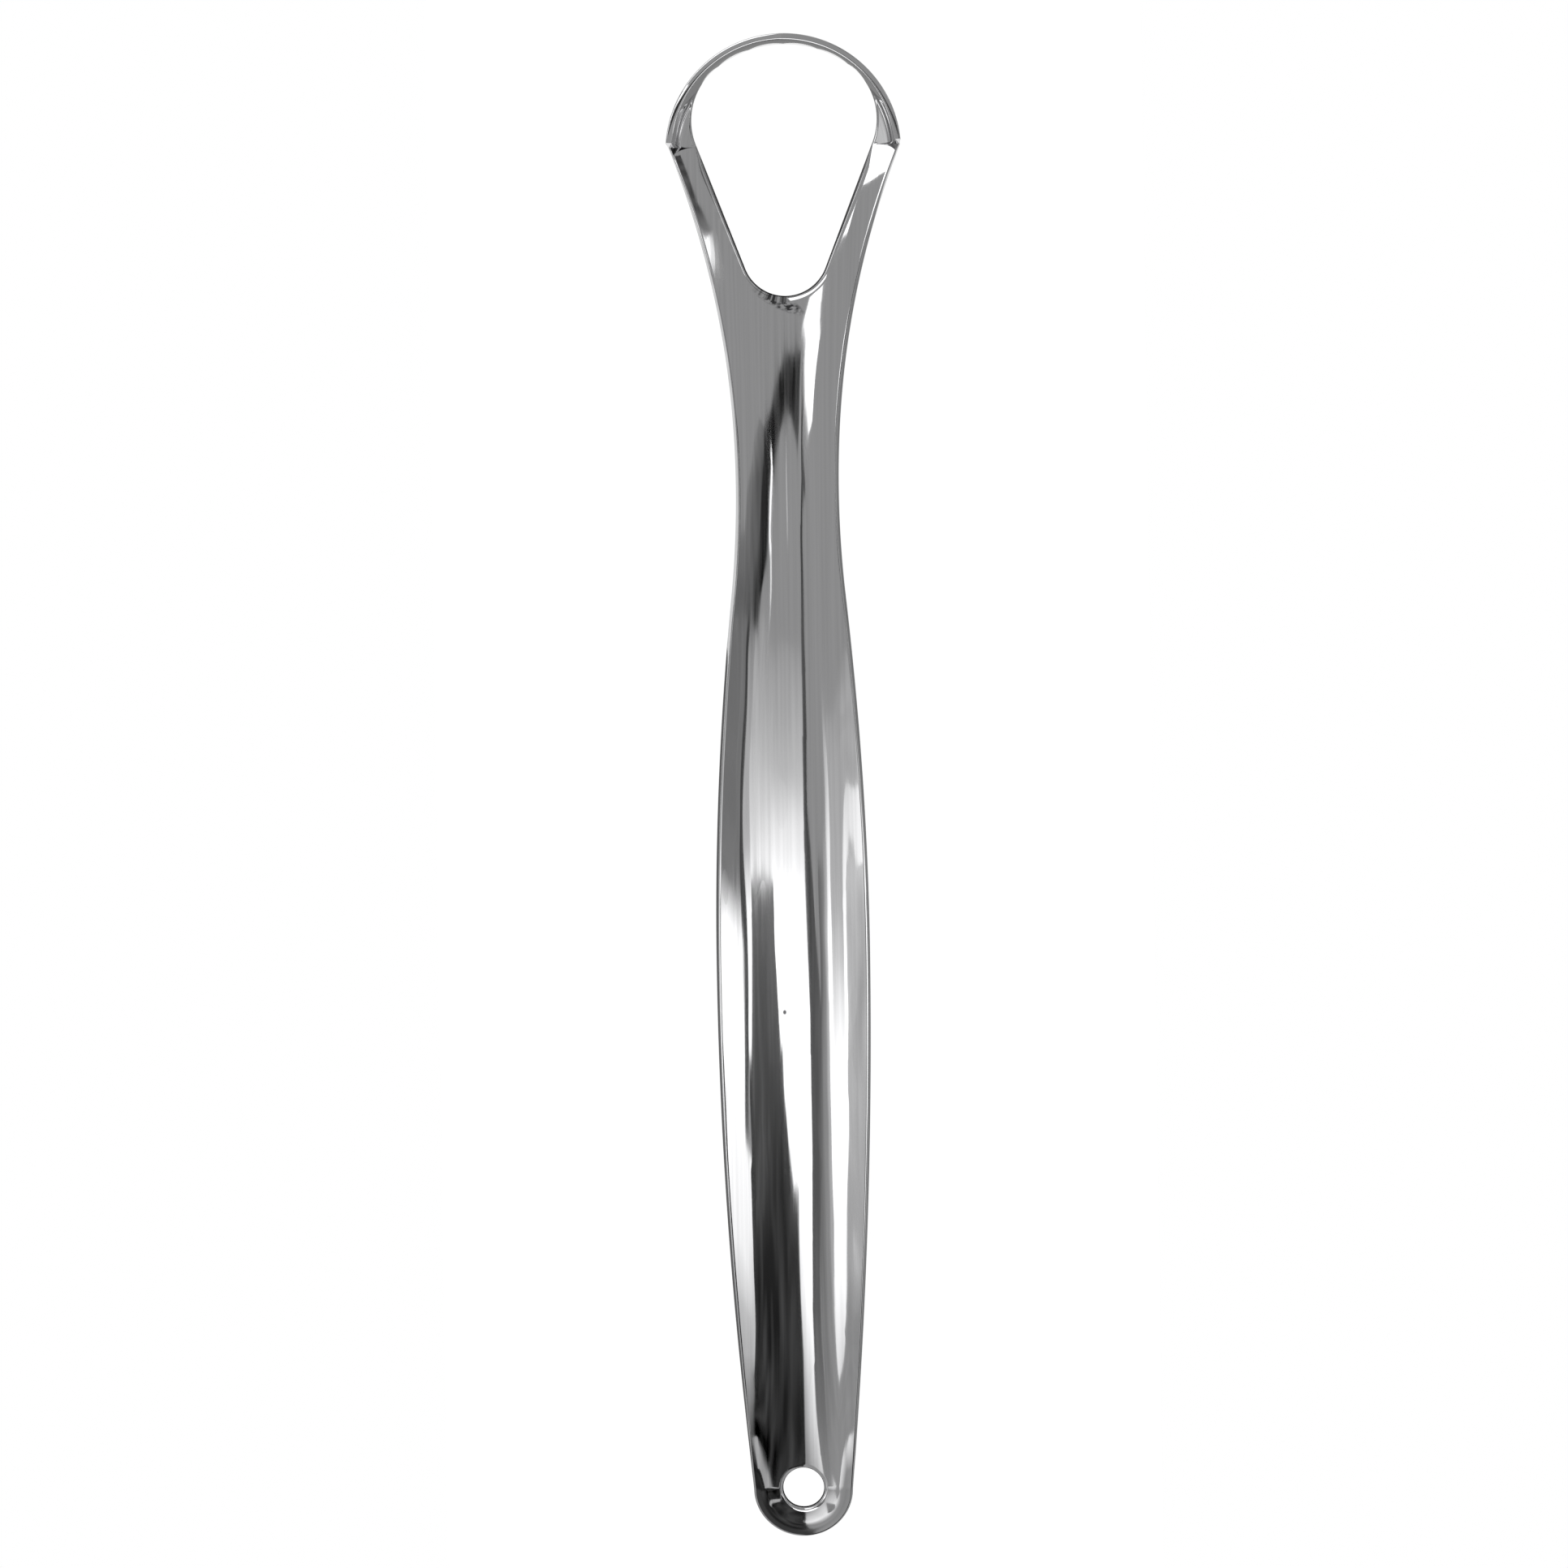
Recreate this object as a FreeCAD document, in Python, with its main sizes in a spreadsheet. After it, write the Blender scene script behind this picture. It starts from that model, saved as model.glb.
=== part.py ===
import FreeCAD, Part
import math
import os

import Sketcher

doc = FreeCAD.newDocument("tongue_scraper")

# Driving sizes: millimetres, and degrees where the name ends in angle or droop.
# "rim" is the folded strip outside the crease, "trough" the depth of the hollow inside it,
# "shoulder_angle" how far round the hoop, up from its widest line, the arms meet it, and
# "band" the metal seen from above beside the opening, at the hoop's top and at its shoulders.
sizes = {
    "sheet_gauge": 0.7,
    "overall_length": 147.0,
    "head_width": 23.0,
    "neck_width": 10.0,
    "grip_width": 15.0,
    "tip_width": 9.7,
    "neck_from_head": 44.5,
    "grip_from_tip": 57.0,
    "arch_height": 5.0,
    "tip_droop": 14.0,
    "tip_rim": 1.0,
    "grip_rim": 2.6,
    "neck_rim": 2.3,
    "loop_rim": 3.0,
    "tip_rim_angle": 8.0,
    "grip_rim_angle": 26.0,
    "neck_rim_angle": 34.0,
    "arm_rim_angle": 8.0,
    "loop_rim_angle": 84.0,
    "shoulder_angle": 5.0,
    "tip_trough": 0.8,
    "grip_trough": 1.5,
    "neck_trough": 0.83,
    "loop_band": 0.95,
    "shoulder_band": 2.4,
    "opening_length": 24.75,
    "opening_corner_radius": 6.5,
    "crotch_radius": 4.2,
    "hang_hole": 4.0,
}

# Where the sections stand between two named ones, as shares of the way there
tail_shares = (0.94, 0.8, 0.5)
waist_shares = (0.72, 0.46, 0.23)
flare_shares = (0.3, 0.55, 0.78)
neck_bend_share = 0.23

sheet = doc.addObject("Spreadsheet::Sheet", "Sizes")
for row, (alias, number) in enumerate(sizes.items(), start=1):
    sheet.set(f"A{row}", alias)
    sheet.set(f"B{row}", str(number))
    sheet.setAlias(f"B{row}", alias)
doc.recompute()


# A station is one cross-section of the sheet: its place along the length, measured from
# the tip, its half width, rim strip, trough depth, and the height of its underside.
def add_station(name, place, height, shape):
    station = doc.addObject("App::VarSet", name)
    crease = f"{name}.half_width - Sizes.sheet_gauge * sin({name}.rim_angle * 1 deg)"
    crease += f" - {name}.rim * cos({name}.rim_angle * 1 deg)"
    expressions = dict(shape, place=place, crease=crease, height=height)
    if "trough" in shape:
        expressions["bend"] = f"({name}.crease ^ 2 + {name}.trough ^ 2) / (2 * {name}.trough)"
    for key in expressions:
        station.addProperty("App::PropertyFloat", key)
    for key, expression in expressions.items():
        station.setExpression(key, expression)
    doc.recompute()
    return station


def named_shape(name):
    shape = {key: f"Sizes.{name}_{key}" for key in ("rim", "rim_angle", "trough")}
    shape["half_width"] = f"Sizes.{name}_width / 2"
    return shape


# Between two named stations each measure goes from the first to the second by a weight
def mixed_shape(first, second, weight):
    shape = {}
    for key in ("half_width", "rim", "rim_angle", "trough"):
        target = f"{second}.{key}" if hasattr(doc.getObject(second), key) else "0"
        shape[key] = f"{first}.{key} + ({target} - {first}.{key}) * {weight}"
    return shape


def mixed_place(first, second, share):
    return f"{first}.place + ({second}.place - {first}.place) * {share}"


# Tangent parabolas: slow out of the neck, then over into the wide part of the grip
def waist_weight(share):
    if share <= neck_bend_share:
        return share ** 2 / neck_bend_share
    return 1 - (1 - share) ** 2 / (1 - neck_bend_share)


# The back arches from the tip, over the grip, down to the loop that lies flat
def arch_height(name):
    run = f"({name}.place - grip.place) / (shoulder.place - grip.place)"
    return f"Sizes.arch_height * (1 - ({run}) ^ 2)"


def tail_height(name):
    run = f"({name}.place - grip.place) / (tip.place - grip.place)"
    return f"Sizes.arch_height - (Sizes.arch_height - tip.height) * ({run}) ^ 2"


tip_reach = "tip.half_width * cos(Sizes.tip_droop * 1 deg) + sin(Sizes.tip_droop * 1 deg)"
tip_reach += " * (Sizes.sheet_gauge * (1 - cos(tip.rim_angle * 1 deg))"
tip_reach += " + tip.trough + tip.rim * sin(tip.rim_angle * 1 deg))"
tip_reach += " + Sizes.sheet_gauge * max(0; sin((Sizes.tip_droop - tip.rim_angle) * 1 deg))"
tip_height = "(tip.bend + Sizes.sheet_gauge) * (1 - cos(Sizes.tip_droop * 1 deg))"

# The head is widest at the shoulders, where the hoop's circle stops and the arms begin
neck_place = "Sizes.overall_length - Sizes.neck_from_head"
loop_place = "Sizes.overall_length - loop.half_width"
loop_shape = {"rim": "Sizes.loop_rim", "rim_angle": "Sizes.loop_rim_angle"}
loop_shape["half_width"] = "Sizes.head_width / 2 / cos(Sizes.shoulder_angle * 1 deg)"
shoulder_place = "loop.place + loop.half_width * sin(Sizes.shoulder_angle * 1 deg)"
shoulder_shape = dict(loop_shape, half_width="Sizes.head_width / 2", rim_angle="Sizes.arm_rim_angle")

add_station("tip", tip_reach, tip_height, named_shape("tip"))
add_station("grip", "Sizes.grip_from_tip", "Sizes.arch_height", named_shape("grip"))
add_station("loop", loop_place, "0", loop_shape)
add_station("shoulder", shoulder_place, "0", shoulder_shape)
add_station("neck", neck_place, arch_height("neck"), named_shape("neck"))

order = ["tip"]
for number, share in enumerate(tail_shares):
    name = f"tail_{number}"
    add_station(name, mixed_place("grip", "tip", share), tail_height(name),
                mixed_shape("grip", "tip", share ** 2))
    order.append(name)
order.append("grip")
for number, share in enumerate(waist_shares):
    name = f"waist_{number}"
    add_station(name, mixed_place("neck", "grip", share), arch_height(name),
                mixed_shape("neck", "grip", waist_weight(share)))
    order.append(name)
order.append("neck")
for number, share in enumerate(flare_shares):
    name = f"flare_{number}"
    add_station(name, mixed_place("neck", "shoulder", share), arch_height(name),
                mixed_shape("neck", "shoulder", share ** 2))
    order.append(name)
order.append("shoulder")

body = doc.addObject("PartDesign::Body", "PressedScraper")
body.Label = "pressed_scraper"
across = FreeCAD.Vector(1, 0, 0)
along = FreeCAD.Vector(0, 1, 0)
upright = FreeCAD.Vector(0, 0, 1)
half_length = "Sizes.overall_length / 2"
half_turn = "180 deg"

# Sketcher's own numbers: the ends and centre of a curve, and the two axes of a sketch
start, end, centre = range(1, 4)
level_axis, upright_axis = range(-1, -3, -1)
origin = level_axis


def plane(role):
    return next(item for item in body.Origin.OriginFeatures if item.Role == role)


def new_sketch(name, role, offsets, axis=None, angle=None):
    sketch = body.newObject("Sketcher::SketchObject", name)
    sketch.AttachmentSupport = [(plane(role), "")]
    sketch.MapMode = "FlatFace"
    if axis:
        turn = FreeCAD.Rotation(axis, sizes[angle])
        sketch.AttachmentOffset = FreeCAD.Placement(FreeCAD.Vector(), turn)
        sketch.setExpression("AttachmentOffset.Rotation.Angle", f"Sizes.{angle} * 1 deg")
    for key, expression in offsets.items():
        sketch.setExpression(f"AttachmentOffset.Base.{key}", expression)
    return sketch


def join(sketch, pairs):
    for one, two in pairs:
        sketch.addConstraint(Sketcher.Constraint("Coincident", *one, *two))


def measure(sketch, name, expression, kind, *items):
    values = [float(sheet.evalExpression(expression.replace(" * 1 deg", "")))]
    if kind == "Angle":
        values = [math.radians(values[0])]
    index = sketch.addConstraint(Sketcher.Constraint(kind, *items, *values))
    sketch.renameConstraint(index, name)
    sketch.setExpression(f"Constraints.{name}", expression)


def straight(points, one, two):
    return Part.LineSegment(points[one], points[two])


def arc(middle, radius, first, last):
    return Part.ArcOfCircle(Part.Circle(middle, upright, radius), first, last)


def hollow(middle, radius, first, last):
    angles = [math.atan2(point.y - middle.y, point.x - middle.x) for point in (first, last)]
    return arc(middle, radius, *angles)


# Corners of a section in its own plane: crease and rim, upper and lower face, right side;
# a capital L in front names the left twin, and axis points close a half section
def corners(station):
    gauge = float(sheet.sheet_gauge)
    slope = math.radians(station.rim_angle)
    outward = FreeCAD.Vector(math.cos(slope), math.sin(slope), 0)
    below = FreeCAD.Vector(math.sin(slope), -math.cos(slope), 0) * gauge
    depth = getattr(station, "trough", 0)
    upper = FreeCAD.Vector(station.crease, gauge + depth, 0)
    points = {"crease": upper, "rim": upper + outward * station.rim}
    points["lower_crease"] = upper + below
    points["lower_rim"] = points["rim"] + below
    points.update({"L" + key: FreeCAD.Vector(-point.x, point.y, 0) for key, point in points.items()})
    points["axis"] = FreeCAD.Vector(0, gauge, 0)
    points["lower_axis"] = FreeCAD.Vector()
    return points


# Upper and lower edge of the hollow, as arcs about one centre, or level where it is flat
def hollow_edges(station, points, first, last, lower_first, lower_last):
    if not hasattr(station, "bend"):
        return [straight(points, first, last), straight(points, lower_first, lower_last)]
    gauge = float(sheet.sheet_gauge)
    middle = FreeCAD.Vector(0, gauge + station.bend, 0)
    upper = hollow(middle, station.bend, points[first], points[last])
    lower = hollow(middle, station.bend + gauge, points[lower_first], points[lower_last])
    return [upper, lower]


def fix_hollow(sketch, station, upper, lower):
    name = station.Name
    if hasattr(station, "bend"):
        join(sketch, [((upper, centre), (lower, centre))])
        measure(sketch, "upper_bend", f"{name}.bend", "Radius", upper)
        measure(sketch, "lower_bend", f"{name}.bend + Sizes.sheet_gauge", "Radius", lower)
        measure(sketch, "bend_centre", f"{name}.bend + Sizes.sheet_gauge", "DistanceY",
                origin, start, upper, centre)
    else:
        measure(sketch, "floor", "Sizes.sheet_gauge", "DistanceY", origin, start, upper, end)
        sketch.addConstraint(Sketcher.Constraint("PointOnObject", lower, end, level_axis))


def fix_rim(sketch, name, cap, upper, lower):
    sketch.addConstraint(Sketcher.Constraint("Perpendicular", cap, upper))
    sketch.addConstraint(Sketcher.Constraint("Parallel", upper, lower))
    measure(sketch, "half_width", f"{name}.half_width", "DistanceX", origin, start, lower, end)
    measure(sketch, "rim", f"{name}.rim", "Distance", upper)
    measure(sketch, "rim_angle", f"{name}.rim_angle * 1 deg", "Angle", upper)
    measure(sketch, "gauge", "Sizes.sheet_gauge", "Distance", cap)


# The tip's section leans back with its droop, the loop's starts where the arms meet it
def section_sketch(name, suffix):
    station = doc.getObject(name)
    offsets = {"y": f"{name}.height", "z": f"{half_length} - {name}.place"}
    turns = {"tip": (across, "tip_droop"), "loop": (along, "shoulder_angle")}
    return station, new_sketch(name + suffix, "XZ_Plane", offsets, *turns.get(name, ()))


# The whole section: right cap and rim, hollow, left rim and cap, and back underneath
def whole_section(name):
    station, sketch = section_sketch(name, "_section")
    points = corners(station)
    upper, lower = hollow_edges(station, points, "Lcrease", "crease", "Llower_crease", "lower_crease")
    edges = [straight(points, "lower_rim", "rim"), straight(points, "crease", "rim"), upper]
    edges += [straight(points, "Lcrease", "Lrim"), straight(points, "Llower_rim", "Lrim")]
    edges += [straight(points, "Llower_crease", "Llower_rim"), lower]
    edges += [straight(points, "lower_crease", "lower_rim")]
    sketch.addGeometry(edges)
    join(sketch, [((0, end), (1, end)), ((1, start), (2, end)), ((2, start), (3, start)),
                  ((3, end), (4, end)), ((4, start), (5, end)), ((5, start), (6, start)),
                  ((6, end), (7, start)), ((7, end), (0, start))])
    for right, left, spot in ((1, 3, start), (1, 3, end), (7, 5, start), (7, 5, end)):
        sketch.addConstraint(Sketcher.Constraint("Symmetric", right, spot, left, spot, upright_axis))
    fix_hollow(sketch, station, 2, 6)
    fix_rim(sketch, name, 0, 1, 7)
    return sketch


# The right half alone, closed along the axis that it turns about at a rounded end
def half_section(name):
    station, sketch = section_sketch(name, "_half")
    points = corners(station)
    upper, lower = hollow_edges(station, points, "axis", "crease", "lower_axis", "lower_crease")
    edges = [straight(points, "lower_rim", "rim"), straight(points, "crease", "rim"), upper]
    edges += [straight(points, "lower_axis", "axis"), lower]
    edges += [straight(points, "lower_crease", "lower_rim")]
    sketch.addGeometry(edges)
    join(sketch, [((0, end), (1, end)), ((1, start), (2, end)), ((2, start), (3, end)),
                  ((3, start), (4, start)), ((4, end), (5, start)), ((5, end), (0, start))])
    for edge in (2, 4):
        sketch.addConstraint(Sketcher.Constraint("PointOnObject", edge, start, upright_axis))
        if not hasattr(station, "bend"):
            sketch.addConstraint(Sketcher.Constraint("Horizontal", edge))
    if hasattr(station, "bend"):
        sketch.addConstraint(Sketcher.Constraint("PointOnObject", 2, centre, upright_axis))
    fix_hollow(sketch, station, 2, 4)
    fix_rim(sketch, name, 0, 1, 5)
    return sketch


def rounded_end(name, backwards, angle):
    profile = half_section(name)
    doc.recompute()
    turned = body.newObject("PartDesign::Revolution", name + "_end")
    turned.Profile = profile
    turned.ReferenceAxis = (profile, ["V_Axis"])
    turned.setExpression("Angle", angle)
    turned.Reversed = backwards
    doc.recompute()
    return turned


# The dished strip from the tip to the widest part of the head
sections = [whole_section(name) for name in order]
doc.recompute()
strip = body.newObject("PartDesign::AdditiveLoft", "strip")
strip.Profile = sections[0]
strip.Sections = sections[1:]
doc.recompute()

# Both ends close as half a dish: the hanging end and the loop
loop_end = rounded_end("loop", False, f"{half_turn} - 2 * Sizes.shoulder_angle * 1 deg")
tip_end = rounded_end("tip", True, half_turn)


# The opening: arc inside the hoop, two corner arcs, straight arms and the crotch arc
def opening_sketch():
    sketch = new_sketch("opening_outline", "XY_Plane", {})
    hoop_radius = "loop.half_width - Sizes.loop_band"
    hoop = float(sheet.evalExpression(hoop_radius))
    hoop_place = f"loop.place - {half_length}"
    crotch_place = f"{half_length} - Sizes.loop_band - Sizes.opening_length + Sizes.crotch_radius"
    corner_place = "shoulder.half_width - Sizes.shoulder_band - Sizes.opening_corner_radius"
    hoop_centre = FreeCAD.Vector(0, float(sheet.evalExpression(hoop_place)), 0)
    crotch_centre = FreeCAD.Vector(0, float(sheet.evalExpression(crotch_place)), 0)
    corner, crotch = float(sheet.opening_corner_radius), float(sheet.crotch_radius)
    aside = float(sheet.evalExpression(corner_place))
    lift = math.sqrt((hoop - corner) ** 2 - aside ** 2)
    corner_centre = hoop_centre + FreeCAD.Vector(aside, lift, 0)
    spread = math.atan2(lift, aside)
    run = corner_centre - crotch_centre
    lean = math.atan2(run.y, run.x) - math.acos((crotch - corner) / run.Length)
    sides = {}
    for side, sign in (("right", 1), ("left", -1)):
        out = FreeCAD.Vector(sign * math.cos(lean), math.sin(lean), 0)
        middle = FreeCAD.Vector(sign * corner_centre.x, corner_centre.y, 0)
        sides[side] = (middle, middle + out * corner, crotch_centre + out * crotch)
    sketch.addGeometry([
        arc(hoop_centre, hoop, spread, math.pi - spread),
        arc(sides["right"][0], corner, lean, spread),
        Part.LineSegment(sides["right"][1], sides["right"][2]),
        arc(crotch_centre, crotch, math.pi - lean, 2 * math.pi + lean),
        Part.LineSegment(sides["left"][2], sides["left"][1]),
        arc(sides["left"][0], corner, math.pi - spread, math.pi - lean),
    ])
    joins = ((0, start, 1, end), (1, start, 2, start), (2, end, 3, end),
             (3, start, 4, start), (4, end, 5, end), (5, start, 0, end))
    for items in joins:
        sketch.addConstraint(Sketcher.Constraint("Tangent", *items))
    sketch.addConstraint(Sketcher.Constraint("Symmetric", 1, centre, 5, centre, upright_axis))
    for edge in (0, 3):
        sketch.addConstraint(Sketcher.Constraint("PointOnObject", edge, centre, upright_axis))
    measure(sketch, "hoop_radius", hoop_radius, "Radius", 0)
    measure(sketch, "hoop_place", hoop_place, "DistanceY", origin, start, 0, centre)
    measure(sketch, "corner_radius", "Sizes.opening_corner_radius", "Radius", 1)
    measure(sketch, "corner_place", corner_place, "DistanceX", origin, start, 1, centre)
    measure(sketch, "crotch_radius", "Sizes.crotch_radius", "Radius", 3)
    measure(sketch, "crotch_place", crotch_place, "DistanceY", origin, start, 3, centre)
    return sketch


def hole_sketch():
    offsets = {"y": f"tip.place - {half_length}", "z": "tip.height"}
    sketch = new_sketch("hang_hole_outline", "XY_Plane", offsets, across, "tip_droop")
    sketch.addGeometry(Part.Circle(FreeCAD.Vector(), upright, float(sheet.hang_hole) / 2))
    join(sketch, [((0, centre), (origin, start))])
    measure(sketch, "hole_radius", "Sizes.hang_hole / 2", "Radius", 0)
    return sketch


def pierce(name, outline):
    before = body.Shape.Volume
    doc.recompute()
    cut = body.newObject("PartDesign::Pocket", name)
    cut.Profile = outline
    cut.Type = "ThroughAll"
    cut.SideType = "Symmetric"
    doc.recompute()
    if body.Shape.Volume >= before:
        raise RuntimeError(f"{name} cut nothing")
    return cut


pierce("opening", opening_sketch())
pierce("hang_hole", hole_sketch())

for item in doc.Objects:
    if "Invalid" in item.State or "Error" in item.State:
        raise RuntimeError(f"{item.Name} failed: {item.State}")
shape = body.Shape
if shape.isNull() or not shape.isValid() or len(shape.Solids) != 1:
    raise RuntimeError("the pressing is not one valid solid")
box = shape.optimalBoundingBox()
print(f"size {box.XLength:.2f} x {box.YLength:.2f} x {box.ZLength:.2f}, volume {shape.Volume:.1f}")
print(f"lowest {box.ZMin:.3f}, ends {box.YMin:.3f} and {box.YMax:.3f}")

os.makedirs("parts", exist_ok=True)
shape.exportStep(f"parts/{body.Label}.step")
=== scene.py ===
import math

import bmesh
import bpy
import numpy as np
from mathutils import Matrix, Vector


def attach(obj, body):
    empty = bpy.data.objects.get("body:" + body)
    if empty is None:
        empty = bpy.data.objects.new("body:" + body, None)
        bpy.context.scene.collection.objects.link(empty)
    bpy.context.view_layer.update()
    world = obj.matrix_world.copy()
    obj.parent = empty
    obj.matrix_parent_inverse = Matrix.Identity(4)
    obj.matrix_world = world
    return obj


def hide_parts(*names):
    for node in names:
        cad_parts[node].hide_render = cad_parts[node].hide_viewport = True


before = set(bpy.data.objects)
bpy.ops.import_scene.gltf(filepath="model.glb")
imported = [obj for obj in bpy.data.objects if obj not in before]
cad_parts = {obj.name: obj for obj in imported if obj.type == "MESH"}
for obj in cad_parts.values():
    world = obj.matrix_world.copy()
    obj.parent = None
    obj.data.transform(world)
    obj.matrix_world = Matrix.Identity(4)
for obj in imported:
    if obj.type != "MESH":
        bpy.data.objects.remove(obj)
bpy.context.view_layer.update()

mm = 0.001

# camera, in mm and degrees: straight above, a little from the right, slightly rolled; frame is
# the width that it sees, aside and aloft shift its aim, near and far bound what it sees
view = dict(
    across=2.5, roll=-0.85, distance=700.0, frame=153.2, aside=-0.86, aloft=0.2, height=2.5,
    sensor=36.0, near=10.0, far=20000.0,
)


def addCamera():
    lean = math.radians(view["across"])
    roll = math.radians(view["roll"])
    back = Vector((math.sin(lean), 0, math.cos(lean)))
    level = Vector((math.cos(lean), 0, -math.sin(lean)))
    right = level * math.cos(roll) + Vector((0, 1, 0)) * math.sin(roll)
    top = back.cross(right)
    lens = bpy.data.cameras.new("camera")
    lens.sensor_width = view["sensor"]
    lens.lens = view["sensor"] * view["distance"] / view["frame"]
    lens.clip_start = view["near"] * mm
    lens.clip_end = view["far"] * mm
    camera = bpy.data.objects.new("camera", lens)
    bpy.context.scene.collection.objects.link(camera)
    target = Vector((0, 0, view["height"])) + right * view["aside"] + top * view["aloft"]
    spot = (target + back * view["distance"]) * mm
    turn = Matrix((right, top, back)).transposed().to_4x4()
    camera.matrix_world = Matrix.Translation(spot) @ turn
    bpy.context.scene.camera = camera


addCamera()
print("camera set")

# the pressing, in mm and degrees, after its solid; four values run tip, grip, neck, loop
scraper = dict(
    gauge=0.7, length=147.0, headWidth=23.0, neckWidth=10.0, gripWidth=15.0, tipWidth=9.7,
    neckFromHead=44.5, gripFromTip=57.0, neckBendShare=0.23,
    archHeight=4.56, tipDroop=14.0, droopRun=9.0, tipLift=0.25,
    trough=(0.4, 1.41, 0.83, 0.002),
    fold=(0.4, 0.5, 1.5, 0.3),  # how far a fold's round runs to each side of its line
    leftRim=(1.0, 2.6, 2.2, 3.0), rightRim=(1.0, 2.6, 2.3, 3.0),
    leftAngle=(2.0, 31.5, 34.0, 8.0), rightAngle=(2.0, 21.0, 34.0, 8.0), wallAngle=84.0,
    leftStartShare=0.75, rightStartShare=0.0,  # of the way from neck to grip, before a rim changes
    leftHold=2.0, rightHold=2.0, flareHold=2.5, tipHold=2.5,  # powers that hold a change back
    shoulderAngle=5.0, loopBand=0.8, shoulderBand=2.4,
    openingLength=24.75, cornerRadius=6.5, crotchRadius=4.2, hangHole=4.0,
    edgeRound=0.18, lipRound=0.4, hoopLip=0.25, armLip=0.65, lipDrop=0.5,
    seamPlace=113.0, lagEnd=88.0, footDrop=1.5, fanStart=22.0, fanReach=2.0,  # lie of the rows
    hoopRows=72, armRows=48, crotchRows=22, handleRows=190, holeRows=16, tipRows=26, lipBlendRows=8,
    hollowColumns=28, foldColumns=10, rimColumns=9, edgeColumns=4,
    halvings=36, leastTurn=0.001, weldReach=0.001, sharpAngle=35.0,  # leastTurn in radians
)


# places along the length, mm from the tip, that the sections hang on; angles in radians
def keyPlaces(size):
    shoulder = math.radians(size["shoulderAngle"])
    droop = math.radians(size["tipDroop"])
    angle = math.radians(size["leftAngle"][0])
    rim, trough = size["leftRim"][0], size["trough"][0]
    loopRadius = size["headWidth"] / 2 / math.cos(shoulder)
    loop = size["length"] - loopRadius
    crease = size["tipWidth"] / 2 - size["gauge"] * math.sin(angle) - rim * math.cos(angle)
    bend = (crease ** 2 + trough ** 2) / (2 * trough)
    rise = size["gauge"] * (1 - math.cos(angle)) + trough + rim * math.sin(angle)
    tip = size["tipWidth"] / 2 * math.cos(droop) + rise * math.sin(droop)
    tip += size["gauge"] * max(0.0, math.sin(droop - angle))
    return dict(
        shoulder=shoulder, droop=droop, loopRadius=loopRadius, loop=loop, tip=tip,
        shoulderPlace=loop + loopRadius * math.sin(shoulder),
        neck=size["length"] - size["neckFromHead"], grip=size["gripFromTip"],
        tipHeight=(bend + size["gauge"]) * (1 - math.cos(droop)) + size["tipLift"])


key = keyPlaces(scraper)


# height of the middle line's underside: one parabola from the grip each way
def backHeight(place):
    top = scraper["archHeight"]
    ahead = (place - key["grip"]) / (key["shoulderPlace"] - key["grip"])
    behind = (place - key["grip"]) / (key["tip"] - key["grip"])
    return np.where(place > key["grip"], top * (1 - ahead ** 2),
                    top - (top - key["tipHeight"]) * behind ** 2)


# upper line of a section: circle of the hollow, round of the fold, straight rim. Its measures
# run by parabolas from grip to tip and from neck to shoulder, by two tangent parabolas from
# neck to grip, and stay the same round the loop; a rim's can start late and rise by a power
def sectionLine(place, inLoop, side):
    size = scraper
    tail = np.clip((key["grip"] - place) / (key["grip"] - key["tip"]), 0, 1) ** 2
    waist = np.clip((key["neck"] - place) / (key["neck"] - key["grip"]), 0, 1)
    bow = size["neckBendShare"]
    waist = np.where(waist <= bow, waist ** 2 / bow, 1 - (1 - waist) ** 2 / (1 - bow))
    flare = np.clip((place - key["neck"]) / (key["shoulderPlace"] - key["neck"]), 0, 1) ** 2

    def mixed(tip, grip, neck, loop, start=0, low=1, high=1, end=1):
        late = np.clip((waist - start) / (1 - start), 0, 1)
        upper = np.where(place < key["neck"], neck + (grip - neck) * late ** low,
                         neck + (loop - neck) * flare ** high)
        lower = grip + (tip - grip) * tail ** end
        return np.where(inLoop, loop, np.where(place < key["grip"], lower, upper))

    half = mixed(*(size[name + "Width"] / 2 for name in ("tip", "grip", "neck", "head")))
    half = np.where(inLoop, key["loopRadius"], half)
    trough = mixed(*size["trough"])
    reach = mixed(*size["fold"])
    start, hold = size[side + "StartShare"], size[side + "Hold"]
    rim = mixed(*size[side + "Rim"], start, hold)
    angle = mixed(*size[side + "Angle"], start, hold, size["flareHold"], size["tipHold"])
    angle = np.radians(np.where(inLoop, size["wallAngle"], angle))
    crease = half - size["gauge"] * np.sin(angle) - rim * np.cos(angle)
    bend = (crease ** 2 + trough ** 2) / (2 * trough)
    first = bend * np.arcsin(crease / bend) - reach
    turn = angle - first / bend
    turn = np.where(np.abs(turn) < size["leastTurn"], size["leastTurn"], turn)
    return bend, first, turn, reach * turn / np.tan(turn / 2), rim - reach


# width and lift at a length along that line, or under it at a depth square to it: the hollow's
# arc, then the fold's arc, then a straight run at the last slope
def linePoint(line, path, depth):
    bend, first, turn, fold = line[:4]
    slope = np.minimum(path, first) / bend
    bent = turn * np.clip((path - first) / fold, 0, 1)
    straight = np.maximum(path - first - fold, 0)
    radius = fold / turn
    out = bend * np.sin(slope) + radius * (np.sin(slope + bent) - np.sin(slope))
    lift = bend * (1 - np.cos(slope)) + radius * (np.cos(slope) - np.cos(slope + bent))
    slope = slope + bent
    return (out + straight * np.cos(slope) + depth * np.sin(slope),
            lift + straight * np.sin(slope) - depth * np.cos(slope))


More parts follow.
